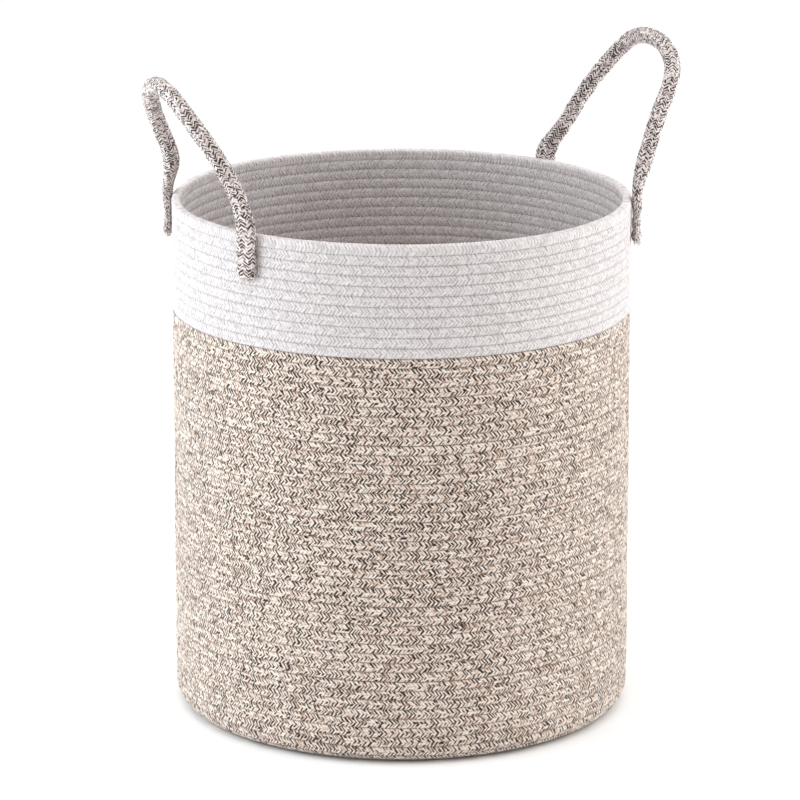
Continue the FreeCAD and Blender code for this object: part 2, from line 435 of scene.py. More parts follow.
# %% Rope materials
def rope_material(name, tones, gap, seam, sheen, bump, cloud, seed):
    """Braided rope. tones is a list of (share of the yarns, colour), from the darkest. gap and seam
    are painted shade in the gaps between strands (in places also dark yarn) and along the seam
    grooves: each gives its colour, with how strong and how wide it is."""
    material = bpy.data.materials.new(name)
    material.use_nodes = True
    maker = Maker(material.node_tree)
    shader = material.node_tree.nodes["Principled BSDF"]
    place = maker.node("ShaderNodeTexCoord").outputs["Object"]
    uv = maker.node("ShaderNodeUVMap", uv_map="braid").outputs[0]
    braid = maker.node("ShaderNodeGroup", node_tree=BRAID)
    for label, value in (("Braid", uv), ("Gap width", gap[2]), ("Stitches", seam[2]), ("Seed", seed)):
        maker.plug(value, braid.inputs[label])
    fibre = maker.node("ShaderNodeGroup", node_tree=FIBRE)
    maker.plug(place, fibre.inputs["Position"])
    fuzz = Number(maker, fibre.outputs["Fuzz"])
    clouds = Number(maker, fibre.outputs["Cloud"])
    tone = Number(maker, braid.outputs["Tone"]) + (clouds - 0.5) * cloud + (fuzz - 0.5) * 0.16
    ramp = maker.node("ShaderNodeValToRGB")
    stops, start = ramp.color_ramp.elements, 0.0
    while len(stops) < 2 * len(tones):
        stops.new(0.5)
    edge = 0.02
    for index, (share, colour) in enumerate(tones):
        stops[2 * index].position = min(start + edge, 1.0)
        stops[2 * index + 1].position = min(start + share - edge, 1.0)
        stops[2 * index].color = stops[2 * index + 1].color = (*colour, 1)
        start += share
    maker.plug(maker.clamp(tone, 0.001, 0.999), ramp.inputs[0])
    colour = ramp.outputs[0]
    # Painted shade: the yarn colour is mixed towards the shade colour in the gaps and along the seams.
    for mask, (shade, strength, _) in (("Gap", gap), ("Seam", seam)):
        mix = maker.node("ShaderNodeMix", data_type="RGBA")
        maker.plug(Number(maker, braid.outputs[mask]) * strength, mix.inputs["Factor"])
        maker.plug(colour, mix.inputs[6])
        maker.plug((*shade, 1), mix.inputs[7])
        colour = mix.outputs[2]
    maker.plug(colour, shader.inputs["Base Color"])
    relief = Number(maker, braid.outputs["Height"]) + fuzz * 0.25
    raised = maker.node("ShaderNodeBump", {"Strength": bump, "Distance": 0.0007, "Height": relief})
    maker.plug(raised.outputs[0], shader.inputs["Normal"])
    maker.plug(maker.clamp(0.8 + fuzz * 0.2), shader.inputs["Roughness"])
    shader.inputs["Sheen Weight"].default_value = sheen
    shader.inputs["Sheen Roughness"].default_value = 0.5
    shader.inputs["Specular IOR Level"].default_value = 0.25
    return material


SHADOW = (0.022, 0.014, 0.011)
OATMEAL = [
    (0.05, (0.06, 0.042, 0.034)), (0.13, (0.42, 0.28, 0.21)),
    (0.32, (0.74, 0.58, 0.49)), (0.50, (0.90, 0.78, 0.69)),
]
CREAM = [
    (0.06, (0.08, 0.06, 0.055)), (0.14, (0.42, 0.335, 0.31)),
    (0.32, (0.72, 0.62, 0.59)), (0.48, (0.90, 0.80, 0.765)),
]
BLEACHED = [(0.20, (0.65, 0.595, 0.59)), (0.35, (0.73, 0.67, 0.665)), (0.45, (0.80, 0.74, 0.735))]
# Colour of the painted shade in the gaps and seams of the white rope.
GREY_SHADE = (0.16, 0.135, 0.13)
HEATHER = rope_material(
    "heather_rope", OATMEAL, (SHADOW, 0.98, 0.54), (SHADOW, 0.95, 0.9), 0.2, 0.8, 0.12, 1.0
)
WHITE = rope_material(
    "white_rope", BLEACHED, (GREY_SHADE, 0.46, 0.42), (GREY_SHADE, 0.75, 0.9), 0.2, 0.6, 0.12, 2.0
)
WHITE_RIM = rope_material(
    "white_rim_rope", BLEACHED, (GREY_SHADE, 0.32, 0.42), (GREY_SHADE, 0.0, 0.9), 0.2, 0.6, 0.12, 2.0
)
HANDLE = rope_material(
    "handle_rope", CREAM, (SHADOW, 0.97, 0.66), (SHADOW, 0.0, 1.0), 0.2, 0.8, 0.12, 3.0
)


# %% Thread materials
def thread_material(name, colour):
    """Twisted sewing thread: one colour, with the twist as a fine change along it."""
    material = bpy.data.materials.new(name)
    material.use_nodes = True
    maker = Maker(material.node_tree)
    shader = material.node_tree.nodes["Principled BSDF"]
    place = maker.node("ShaderNodeTexCoord").outputs["Object"]
    twist = maker.noise(place, 1500.0, 1.0)
    ramp = maker.node("ShaderNodeValToRGB")
    ramp.color_ramp.elements[0].color = (*[c * 0.7 for c in colour], 1)
    ramp.color_ramp.elements[1].color = (*colour, 1)
    ramp.color_ramp.elements[0].position = 0.3
    ramp.color_ramp.elements[1].position = 0.6
    maker.plug(twist, ramp.inputs[0])
    maker.plug(ramp.outputs[0], shader.inputs["Base Color"])
    shader.inputs["Roughness"].default_value = 0.6
    shader.inputs["Sheen Weight"].default_value = 0.2
    return material


HEATHER_THREAD = thread_material("heather_thread", (0.66, 0.56, 0.46))
WHITE_THREAD = thread_material("white_thread", (0.88, 0.86, 0.85))

# %% [markdown]
# ## The coil
#
# A row of the wall is one turn of rope, and 54 turns by hand would be 54 chances to slip. A
# geometry tree works instead: it lays a grid round the hamper, bends each row out into a rope's
# face, and lifts a ridge for every strand. The grid's columns zigzag with the strokes, so a few
# faces a strand are enough. The outside and the inside of the wall are separate closed bands that
# meet in the middle of the rope, because the inside can be coarser.

# %% Sizes of the braid on the coil
STROKE_PITCH = 3.2 * MM
STROKE_SLANT = 3.2 * MM
STROKES_A_TURN = round(2 * math.pi * OUTER_RADIUS / STROKE_PITCH)
STRAND_RELIEF = 0.35 * MM
CROWN = 0.2 * MM            # how much a row's face rounds off towards its seams
COIL_INPUTS = {
    "Flat radius": ("number", FLAT_LENGTH),
    "Corner radius": ("number", CORNER_RADIUS),
    "Half thickness": ("number", HALF_ROPE),
    "Wobble": ("number", 0.5 * MM),
}


# %% Places on the coil
def coil_place(maker, given, along, outward, angle):
    """A point of the coil: along the rope's line from the middle of the base, outwards, and round."""
    corner = given["Corner radius"]
    flat = given["Flat radius"]
    quarter = math.pi / 2
    turn = maker.clamp((along - flat) / corner, 0.0, quarter)
    rise = maker.most(along - flat - corner * quarter, 0.0)
    reach = corner + outward
    radius = maker.least(along, flat) + reach * maker.sine(turn)
    height = corner + given["Half thickness"] - reach * maker.cosine(turn) + rise
    bare = maker.vector(maker.cosine(angle) * radius, maker.sine(angle) * radius, height)
    softness = maker.clamp(height / 0.03) * given["Wobble"]
    slow = (maker.noise(bare, 9.0, 1.0) - 0.5) * 4.0
    fast = (maker.noise(bare, 70.0, 1.0) - 0.5) * 1.6
    sway = (maker.noise(bare, 5.0, 1.0) - 0.5) * 5.0
    radius = radius + (slow + fast) * softness
    height = height + sway * softness
    return maker.vector(maker.cosine(angle) * radius, maker.sine(angle) * radius, height)


def keep_map(maker, shape, label, value):
    """Keeps a map on the shape's face corners."""
    node = maker.node(
        "GeometryNodeStoreNamedAttribute",
        {"Geometry": shape, "Name": label, "Value": value},
        data_type="FLOAT2", domain="CORNER",
    )
    return node.outputs[0]


def index_grid(maker, around_points, across_points):
    """A flat grid to be bent into shape, and each point's two whole numbers in it."""
    grid = maker.node(
        "GeometryNodeMeshGrid",
        {"Size X": 1.0, "Size Y": 1.0, "Vertices X": around_points, "Vertices Y": across_points},
    )
    x, y, _ = maker.parts(maker.node("GeometryNodeInputPosition").outputs[0])
    around_index = maker.math("ROUND", (x + 0.5) * (around_points - 1))
    across_index = maker.math("ROUND", (y + 0.5) * (across_points - 1))
    return grid.outputs[0], around_index, across_index


def mapped_grid(maker, grid, place, braid):
    """The grid moved to its place, with the braid map read before it moves, and its edges joined."""
    captured = maker.node("GeometryNodeCaptureAttribute", {"Geometry": grid}, domain="POINT")
    captured.capture_items.new("VECTOR", "braid")
    maker.plug(braid, captured.inputs["braid"])
    laid = maker.node(
        "GeometryNodeSetPosition", {"Geometry": captured.outputs[0], "Position": place}
    ).outputs[0]
    mapped = keep_map(maker, laid, "braid", captured.outputs["braid"])
    return maker.node("GeometryNodeMergeByDistance", {"Geometry": mapped, "Distance": 0.00001}).outputs[0]


def finish_tree(maker, shape, material, exit_node):
    """Smooth shading, real geometry and the material, as every tree here ends."""
    smooth = maker.node("GeometryNodeSetShadeSmooth", {"Geometry": shape}).outputs[0]
    real = maker.node("GeometryNodeRealizeInstances", {"Geometry": smooth}).outputs[0]
    painted = maker.node("GeometryNodeSetMaterial", {"Geometry": real, "Material": material}).outputs[0]
    maker.plug(painted, exit_node.inputs[0])


def finish_thread(maker, curve, place, given, stitch, exit_node):
    """A thin tube along the curve, once its points are in place, with a map named OFBake that runs along the
    thread.
    """
    captured = maker.node("GeometryNodeCaptureAttribute", {"Geometry": curve}, domain="POINT")
    captured.capture_items.new("VECTOR", "along")
    maker.plug(maker.vector(maker.tent(stitch / 2), 0.0), captured.inputs["along"])
    laid = maker.node(
        "GeometryNodeSetPosition", {"Geometry": captured.outputs[0], "Position": place}
    ).outputs[0]
    section = maker.node(
        "GeometryNodeCurvePrimitiveCircle", {"Resolution": 3, "Radius": given["Thread radius"]}
    )
    tube = maker.node(
        "GeometryNodeCurveToMesh",
        {"Curve": laid, "Profile Curve": section.outputs[0], "Fill Caps": True},
    ).outputs[0]
    mapped = keep_map(maker, tube, "OFBake", captured.outputs["along"])
    finish_tree(maker, mapped, given["Material"], exit_node)


# %% A row's face
def row_face(maker, given, near, column_middle, ridge, fullness):
    """How far a row's surface stands from the middle of the rope. near is 1 at a seam, 0 between."""
    crown = given["Crown"] * near * near
    groove = given["Groove depth"] * near ** 8.0
    lift = given["Relief"] * ridge * (0.25 + 0.75 * column_middle) * fullness
    return given["Half thickness"] - crown - groove + lift


FACE_INPUTS = {
    "Groove depth": ("number", GROOVE_DEPTH), "Crown": ("number", CROWN),
    "Relief": ("number", STRAND_RELIEF), "Slant": ("number", STROKE_SLANT),
    "Material": ("material", None), **COIL_INPUTS,
}


# %% Geometry tree: coiled rows
STEPS_A_ROW = 4
maker, given, exit_node = new_tree(
    "coiled_rows", "GeometryNodeTree",
    {
        "Rows": ("count", 8), "First row": ("count", 0), "Start": ("number", WALL_START),
        "Row pitch": ("number", HEATHER_PITCH), "Strokes": ("count", STROKES_A_TURN),
        "Steps a stroke": ("count", 5), "Side": ("number", 1.0), **FACE_INPUTS,
    },
    {"Geometry": ("shape", None)},
)
across_points = given["Rows"] * STEPS_A_ROW + 4
around_points = given["Strokes"] * given["Steps a stroke"] + 1
grid, around_index, across_index = index_grid(maker, around_points, across_points)
last_face = across_points - 1.5
returned = maker.is_over(across_index, last_face)
closing = maker.clamp(maker.is_over(across_index, last_face - 1) + maker.is_under(across_index, 0.5))
step = maker.clamp((across_index - 1) / STEPS_A_ROW, 0.0, given["Rows"]) * (1 - returned)
lean = maker.fraction(step) - 0.5
row = maker.floor(step) + 0.5 + lean * (1.88 - 1.76 * maker.size(lean))   # grooves get closer points
near = maker.tent(row)
stroke = around_index / given["Steps a stroke"]
ridge = 0.5 + 0.5 * maker.cosine(stroke * (2 * math.pi))
cell = maker.vector(maker.math("ROUND", stroke), maker.floor(row * 2 + 0.01), given["First row"])
fullness = 0.65 + 0.7 * maker.chance(cell)
column_middle = maker.size(maker.sine(row * (2 * math.pi)))
face = row_face(maker, given, near, column_middle, ridge, fullness)
outward = face * given["Side"] * (1 - closing)
along = given["Start"] + (given["First row"] + row) * given["Row pitch"]
around = given["Flat radius"] + given["Corner radius"]
slide = given["Slant"] * (1 - near) * (1 - closing) / around
angle = stroke / given["Strokes"] * (2 * math.pi) + slide
column = (given["First row"] + row) * 2 * (1 - closing) - closing
place = coil_place(maker, given, along, outward, angle)
shape = mapped_grid(maker, grid, place, maker.vector(stroke, column))
flipped = maker.node("GeometryNodeFlipFaces", {"Mesh": shape}).outputs[0]
inside = maker.is_under(given["Side"], 0.0)
chosen = maker.node(
    "GeometryNodeSwitch", {"Switch": inside, "False": shape, "True": flipped}, input_type="GEOMETRY"
)
finish_tree(maker, chosen.outputs[0], given["Material"], exit_node)
COILED_ROWS = maker.tree

# %% [markdown]
# The rim's row is seen from above as well, so it is a whole rope: a ring with a rounded, slightly
# square section. Its six columns of strokes run round that section.

# %% Geometry tree: rim row
RIM_SIDES = 16
RIM_COLUMNS = 6
SQUARENESS = 0.6           # 1 is an oval section, and less is squarer
maker, given, exit_node = new_tree(
    "rim_row", "GeometryNodeTree",
    {
        "Row pitch": ("number", WHITE_PITCH), "Height": ("number", HEIGHT),
        "Strokes": ("count", STROKES_A_TURN), "Steps a stroke": ("count", 5),
        "Overlap": ("number", 1.0 * MM), **FACE_INPUTS,
    },
    {"Geometry": ("shape", None)},
)
around_points = given["Strokes"] * given["Steps a stroke"] + 1
grid, around_index, side_index = index_grid(maker, around_points, RIM_SIDES + 1)
stroke = around_index / given["Steps a stroke"]
ridge = 0.5 + 0.5 * maker.cosine(stroke * (2 * math.pi))
column = side_index * (RIM_COLUMNS / RIM_SIDES) + 1
turn = (column - 1) * (2 * math.pi / RIM_COLUMNS)
swell = 1 + given["Relief"] / given["Half thickness"] * ridge
outward = maker.squared(maker.cosine(turn), SQUARENESS) * given["Half thickness"] * swell
half_height = (given["Row pitch"] + given["Overlap"]) / 2    # a little of it sits in the row below
upward = maker.squared(maker.sine(turn), SQUARENESS) * half_height * swell
around = given["Flat radius"] + given["Corner radius"]
angle = stroke / given["Strokes"] * (2 * math.pi) + given["Slant"] * (1 - maker.tent(column / 2)) / around
along = given["Flat radius"] + given["Corner radius"] * (math.pi / 2 - 1) + given["Height"] \
    - given["Half thickness"] - half_height + upward
place = coil_place(maker, given, along, outward, angle)
shape = mapped_grid(maker, grid, place, maker.vector(stroke, column))
finish_tree(maker, shape, given["Material"], exit_node)
RIM_ROW = maker.tree

# %% [markdown]
# The base is one rope wound flat from its middle. In the tree each turn's inner edge is where the
# turn before it ends, so the turns fill the disc, and the rope tapers away where the wall's first
# row takes over. The corner and the disc's edge then meet with no gap.

# %% Geometry tree: flat coil
BASE_TURNS = WALL_START / HEATHER_PITCH
BASE_STROKES = round(math.pi * HEATHER_PITCH * (BASE_TURNS + 1) ** 2 / STROKE_PITCH)
BASE_SIDES = 10
maker, given, exit_node = new_tree(
    "flat_coil", "GeometryNodeTree",
    {
        "Turns": ("number", BASE_TURNS), "Row pitch": ("number", HEATHER_PITCH),
        "Strokes": ("count", BASE_STROKES), **FACE_INPUTS,
    },
    {"Geometry": ("shape", None)},
)
grid, stroke, side_index = index_grid(maker, given["Strokes"] + 1, BASE_SIDES + 1)
turns = maker.root(stroke / given["Strokes"]) * (given["Turns"] + 1) - 1
inner = maker.clamp(turns, 0.0, given["Turns"]) * given["Row pitch"]
outer = maker.clamp(turns + 1, 0.0, given["Turns"]) * given["Row pitch"]
underneath = maker.is_over(side_index, BASE_SIDES / 2 - 0.5) * maker.is_under(side_index, BASE_SIDES - 0.5)
face_points = BASE_SIDES / 2
position = (side_index - maker.floor(side_index / face_points + 0.01) * face_points) / 4 - 0.5
lean = position * (1.88 - 1.76 * maker.size(position))
near = maker.size(lean) * 2
across = 0.5 + lean * (1 - 2 * underneath)
fullness = maker.root(maker.clamp((outer - inner) / given["Row pitch"]))
face = row_face(maker, given, near, 1.0, 0.0, 1.0) * fullness
along = inner + (outer - inner) * across
slide = given["Slant"] * (1 - near) / maker.most(along, 0.02)
angle = turns * (2 * math.pi) + slide
place = coil_place(maker, given, along, face * (2 * underneath - 1), angle)
column = 2 * (0.5 + lean) + 2 * underneath
shape = mapped_grid(maker, grid, place, maker.vector(stroke, column))
finish_tree(maker, shape, given["Material"], exit_node)
FLAT_COIL = maker.tree


# %% Maps for the bake
def bake_map(piece, strokes, columns, first_column, cuts):
    """Lays the braid map's long strip out as a stack of shorter ones, in a square of its own.
    Faces inside the wall, which nobody sees, share one small corner of it."""
    mesh = piece.data
    braid = np.empty(len(mesh.loops) * 2, np.float32)
    mesh.uv_layers["braid"].data.foreach_get("uv", braid)
    braid = braid.reshape(-1, 2).astype(float)
    starts = np.empty(len(mesh.polygons), np.int32)
    mesh.polygons.foreach_get("loop_start", starts)
    totals = np.empty(len(mesh.polygons), np.int32)
    mesh.polygons.foreach_get("loop_total", totals)
    face = np.repeat(np.arange(len(totals)), totals)
    share = braid[:, 0] / strokes
    middle = np.bincount(face, share) / totals
    cut = np.clip(np.floor(middle * cuts), 0, cuts - 1)[face]
    lowest = np.minimum.reduceat(braid[:, 1], starts)[face]
    hidden = lowest < -0.5
    gutter = 0.25
    strip = columns + gutter
    u = share * cuts - cut
    v = (cut * strip + braid[:, 1] - first_column) / (cuts * strip)
    u = 0.002 + 0.996 * u
    v = 0.985 * v
    u[hidden] = 0.001
    v[hidden] = 0.999
    layer = mesh.uv_layers.new(name="OFBake")
    layer.data.foreach_set("uv", np.stack([u, v], 1).astype(np.float32).ravel())
    mesh.uv_layers["OFBake"].active_render = True
    return piece


# %% The wall, outside and inside
WALL = (WALL_START, HEATHER_PITCH, HEATHER, "heather_wall_coil", "heather_rope")
BAND = (BAND_START, WHITE_PITCH, WHITE, "white_band_coil", "white_rope")
OUTSIDE, INSIDE = 1.0, -1.0
BAND_ROWS = WHITE_ROWS - 1          # the rim's row is a whole rope of its own
coil_pieces = []


def coiled_section(name, stretch, first_row, rows, side, steps, relief):
    start, pitch, material, node, slot = stretch
    piece = grow(name, COILED_ROWS, {
        "Rows": rows, "First row": first_row, "Start": start, "Row pitch": pitch, "Side": side,
        "Steps a stroke": steps, "Relief": relief, "Material": material,
    })
    bake_map(piece, STROKES_A_TURN, rows * 2, first_row * 2, 4)
    coil_pieces.append((piece, node, slot))


def shared_out(rows, sections):
    """The first row and the number of rows of each section, as even as they can be."""
    cuts = [round(rows * section / sections) for section in range(sections + 1)]
    return [(first, after - first) for first, after in zip(cuts, cuts[1:])]


for section, (first_row, rows) in enumerate(shared_out(HEATHER_ROWS, 5), 1):
    coiled_section(f"heather_wall_outside_{section}", WALL, first_row, rows, OUTSIDE, 5, STRAND_RELIEF)
for section, (first_row, rows) in enumerate(shared_out(HEATHER_ROWS, 4), 1):
    coiled_section(f"heather_wall_inside_{section}", WALL, first_row, rows, INSIDE, 1, 0.0)
coiled_section("white_band_outside", BAND, 0, BAND_ROWS, OUTSIDE, 5, STRAND_RELIEF)
coiled_section("white_band_inside", BAND, 0, BAND_ROWS, INSIDE, 3, STRAND_RELIEF)

# %% The rim and the base
rim = grow("white_rim_row", RIM_ROW, {"Material": WHITE_RIM})
bake_map(rim, STROKES_A_TURN, RIM_COLUMNS, 1, 6)
coil_pieces.append((rim, "white_band_coil", "white_rope"))
base = grow("flat_coil_base", FLAT_COIL, {"Material": HEATHER})
bake_map(base, BASE_STROKES, 4, 0, 24)
coil_pieces.append((base, "base_coil", "heather_rope"))

# %% [markdown]
# ## The seams
#
# A zigzag stitch runs along every groove and ties each turn to the one before it. It is one tree:
# it makes a ring of points for each seam, swings every other point to the next row, and gives the
# line a thin three-sided tube, which is plenty for a thread. The base's seam is one spiral.

# %% Geometry tree: ring seams
THREAD_RADIUS = 0.36 * MM
STITCH_SWING = 1.25 * MM
STITCH_LENGTH = 2.6 * MM
SEAM_SINK = 0.45 * MM       # from the rope's crest to the middle of the thread
maker, given, exit_node = new_tree(
    "ring_seams", "GeometryNodeTree",
    {
        "Seams": ("count", 10), "Start": ("number", WALL_START), "Row pitch": ("number", HEATHER_PITCH),
        "Stitches": ("count", 480), "Swing": ("number", STITCH_SWING), "Side": ("number", 1.0),
        "Sink": ("number", SEAM_SINK), "Thread radius": ("number", THREAD_RADIUS),
        "Material": ("material", None), **COIL_INPUTS,
    },
    {"Geometry": ("shape", None)},
)
ring = maker.node("GeometryNodeCurvePrimitiveCircle", {"Resolution": given["Stitches"], "Radius": 1.0})
line = maker.node("GeometryNodeMeshLine", {"Count": given["Seams"]})
rings = maker.node("GeometryNodeInstanceOnPoints", {"Points": line.outputs[0], "Instance": ring.outputs[0]})
rings = maker.node("GeometryNodeRealizeInstances", {"Geometry": rings.outputs[0]}).outputs[0]
index = Number(maker, maker.node("GeometryNodeInputIndex").outputs[0])
seam = maker.floor((index + 0.5) / given["Stitches"])
stitch = index - seam * given["Stitches"]
swing = (maker.tent(stitch / 2) * 2 - 1) * given["Swing"]
ease = 0.8 + 0.4 * maker.chance(maker.vector(stitch, seam))
along = given["Start"] + seam * given["Row pitch"] + swing * ease
outward = (given["Half thickness"] - given["Sink"]) * given["Side"]
angle = stitch / given["Stitches"] * (2 * math.pi)
place = coil_place(maker, given, along, outward, angle)
finish_thread(maker, rings, place, given, stitch, exit_node)
RING_SEAMS = maker.tree

# %% Geometry tree: spiral seam
maker, given, exit_node = new_tree(
    "spiral_seam", "GeometryNodeTree",
    {
        "Turns": ("number", math.floor(BASE_TURNS)), "Row pitch": ("number", HEATHER_PITCH),
        "Stitches": ("count", 3600), "Swing": ("number", STITCH_SWING),
        "Height": ("number", 0.0), "Thread radius": ("number", THREAD_RADIUS),
        "Material": ("material", None),
    },
    {"Geometry": ("shape", None)},
)
line = maker.node("GeometryNodeMeshLine", {"Count": given["Stitches"]})
curve = maker.node("GeometryNodeMeshToCurve", {"Mesh": line.outputs[0]}).outputs[0]
stitch = Number(maker, maker.node("GeometryNodeInputIndex").outputs[0])
turns = maker.root(stitch / given["Stitches"] * (given["Turns"] ** 2.0 - 1) + 1)
swing = (maker.tent(stitch / 2) * 2 - 1) * given["Swing"]
radius = turns * given["Row pitch"] + swing
angle = turns * (2 * math.pi)
place = maker.vector(maker.cosine(angle) * radius, maker.sine(angle) * radius, given["Height"])
finish_thread(maker, curve, place, given, stitch, exit_node)
SPIRAL_SEAM = maker.tree

# %% Sew the seams
thread_pieces = []
WALL_STITCHES = 2 * round(math.pi * OUTER_RADIUS / STITCH_LENGTH)


def ring_seams(name, stretch, first_seam, seams, side, stitches, material, node, slot):
    start, pitch = stretch[:2]
    piece = grow(name, RING_SEAMS, {
        "Seams": seams, "Start": start + first_seam * pitch, "Row pitch": pitch, "Side": side,
        "Stitches": stitches, "Material": material,
    })
    thread_pieces.append((piece, node, slot))


for section, (first_seam, seams) in enumerate(shared_out(HEATHER_ROWS, 2), 1):
    ring_seams(
        f"heather_seams_outside_{section}", WALL, first_seam, seams, OUTSIDE, WALL_STITCHES,
        HEATHER_THREAD, "wall_outer_seam_thread", "heather_thread",
    )
ring_seams(
    "heather_seams_inside", WALL, 0, HEATHER_ROWS, INSIDE, WALL_STITCHES // 2,
    HEATHER_THREAD, "wall_inner_seam_thread", "heather_thread",
)
ring_seams(
    "white_seams_outside", BAND, 0, WHITE_ROWS, OUTSIDE, WALL_STITCHES,
    WHITE_THREAD, "band_outer_seam_thread", "white_thread",
)
ring_seams(
    "white_seams_inside", BAND, 0, WHITE_ROWS, INSIDE, WALL_STITCHES // 2,
    WHITE_THREAD, "band_inner_seam_thread", "white_thread",
)
for name, height, node in (
    ("base_seam_below", SEAM_SINK, "base_outer_seam_thread"),
    ("base_seam_above", ROPE_THICKNESS - SEAM_SINK, "base_inner_seam_thread"),
):
    piece = grow(name, SPIRAL_SEAM, {"Height": height, "Material": HEATHER_THREAD})
    thread_pieces.append((piece, node, "heather_thread"))

# %% [markdown]
# ## The handles
#
# Each handle is one length of thicker braided rope. Its line goes up the wall from one sewn end,
# over in a standing loop, and down to the other end. The line is a NURBS curve whose control
# points are the route's own points, so it is smooth all the way, and the rope's surface is then
# laid round that line. Near its ends the rope is pressed flat, as the sewing does to it.

# %% Routes of the handles
HANDLE_DIAMETER = 14 * MM
HANDLE_HALF_ANGLE = math.radians(27.5)
HANDLE_AXIS_RADIUS = OUTER_RADIUS + 4 * MM
HINGE_RISE = 8 * MM
EXIT_ALONG = HANDLE_AXIS_RADIUS * math.sin(HANDLE_HALF_ANGLE)
EXIT_OUT = HANDLE_AXIS_RADIUS * math.cos(HANDLE_HALF_ANGLE)
# distance along the handle from its middle, out from the hamper's axis, and up from the rim
LOOP_ROUTES = {
    "left": [(EXIT_ALONG, EXIT_OUT, HINGE_RISE), (0.076, 0.1825, 0.034), (0.068, 0.199, 0.066),
             (0.0435, 0.216, 0.0975), (0.016, 0.2215, 0.1125)],
    "right": [(EXIT_ALONG, EXIT_OUT, HINGE_RISE), (0.0825, 0.1945, 0.032), (0.073, 0.210, 0.065),
              (0.058, 0.235, 0.102), (0.026, 0.240, 0.122)],
}
# the sewn part, from its tip: radius from the hamper's axis, and height up from the rim
SEWN_ROUTE = [(0.2047, -0.039), (0.2038, -0.021), (0.2048, -0.005)]
SIDE_TURN = {"left": -1, "right": 1}


def handle_route(side):
    """The rope's control points, from the tip of one sewn end to the tip of the other."""
    sewn = [
        (radius * math.sin(HANDLE_HALF_ANGLE), radius * math.cos(HANDLE_HALF_ANGLE), rise)
        for radius, rise in SEWN_ROUTE
    ]
    half = sewn + LOOP_ROUTES[side]
    whole = half + [(-along, out, rise) for along, out, rise in reversed(half)]
    turn = SIDE_TURN[side]
    return [Vector((turn * out, turn * along, HEIGHT + rise)) for along, out, rise in whole]


def smooth_line(name, points):
    """Points along the NURBS curve that has these control points, and its length."""
    data = bpy.data.curves.new(name, "CURVE")
    data.dimensions = "3D"
    spline = data.splines.new("NURBS")
    spline.points.add(len(points) - 1)
    for point, place in zip(spline.points, points):
        point.co = (*place, 1)
    spline.order_u = 3
    spline.use_endpoint_u = True
    spline.resolution_u = 24
    curve = bpy.data.objects.new(name, data)
    scene.collection.objects.link(curve)
    bpy.context.view_layer.update()
    graph = bpy.context.evaluated_depsgraph_get()
    chain = bpy.data.meshes.new_from_object(curve.evaluated_get(graph))
    line = [vertex.co.copy() for vertex in chain.vertices]
    bpy.data.objects.remove(curve)
    bpy.data.meshes.remove(chain)
    length = sum((b - a).length for a, b in zip(line, line[1:]))
    print(f"{name}: {length * 1000:.0f} mm")
    return line, length


# %% Geometry tree: braided rope
HANDLE_STROKE = 2.9 * MM
HANDLE_COLUMNS = 12
HANDLE_SIDES = 24
SEWN_LENGTH = 39 * MM
END_WIDTH = 20.8 * MM
TACK_DISTANCES = (11.5 * MM, 23.5 * MM)     # of the two tacks, from the rope's tip
maker, given, exit_node = new_tree(
    "braided_rope", "GeometryNodeTree",
    {
        "Line": ("shape", None), "Length": ("number", 0.4), "Diameter": ("number", HANDLE_DIAMETER),
        "Strokes": ("count", 160), "Steps a stroke": ("count", 5), "Slant": ("number", 3.0 * MM),
        "Relief": ("number", 0.55 * MM), "Sewn length": ("number", SEWN_LENGTH),
        "Sewn width": ("number", END_WIDTH), "Sewn thickness": ("number", 7.4 * MM),
        "Rim thickness": ("number", 8.8 * MM), "Tip thickness": ("number", 9.0 * MM),
        "Material": ("material", None),
    },
    {"Geometry": ("shape", None)},
)
grid, along_index, side_index = index_grid(
    maker, given["Strokes"] * given["Steps a stroke"] + 1, HANDLE_SIDES + 1
)
stroke = along_index / given["Steps a stroke"]
column = side_index * (HANDLE_COLUMNS / HANDLE_SIDES)
inset = maker.smooth(stroke, 0.0, 2.0) * maker.smooth(given["Strokes"] - stroke, 0.0, 2.0)
slide = given["Slant"] * (0.5 - maker.tent(column / 2)) * inset
distance = maker.clamp(stroke / given["Strokes"] * given["Length"] + slide, 0.0, given["Length"])
curve = maker.node("GeometryNodeMeshToCurve", {"Mesh": given["Line"]}).outputs[0]
sample = maker.node(
    "GeometryNodeSampleCurve", {"Curves": curve, "Length": distance}, mode="LENGTH", use_all_curves=True
)
centre, tangent, normal = (sample.outputs[name] for name in ("Position", "Tangent", "Normal"))
binormal = maker.vectors("CROSS_PRODUCT", tangent, normal)
turn = column * (2 * math.pi / HANDLE_COLUMNS)
cell = maker.vector(maker.math("ROUND", stroke), maker.floor(column + 0.01))
fullness = 0.6 + 0.8 * maker.chance(cell)
column_middle = 1 - maker.tent(column)
ridge = 0.5 + 0.5 * maker.cosine(stroke * (2 * math.pi))
reach = given["Diameter"] / 2 + given["Relief"] * (column_middle * (0.4 + 0.6 * ridge * fullness) - 0.35)
offset = maker.vectors(
    "ADD",
    maker.scaled(normal, maker.cosine(turn) * reach), maker.scaled(binormal, maker.sine(turn) * reach),
)
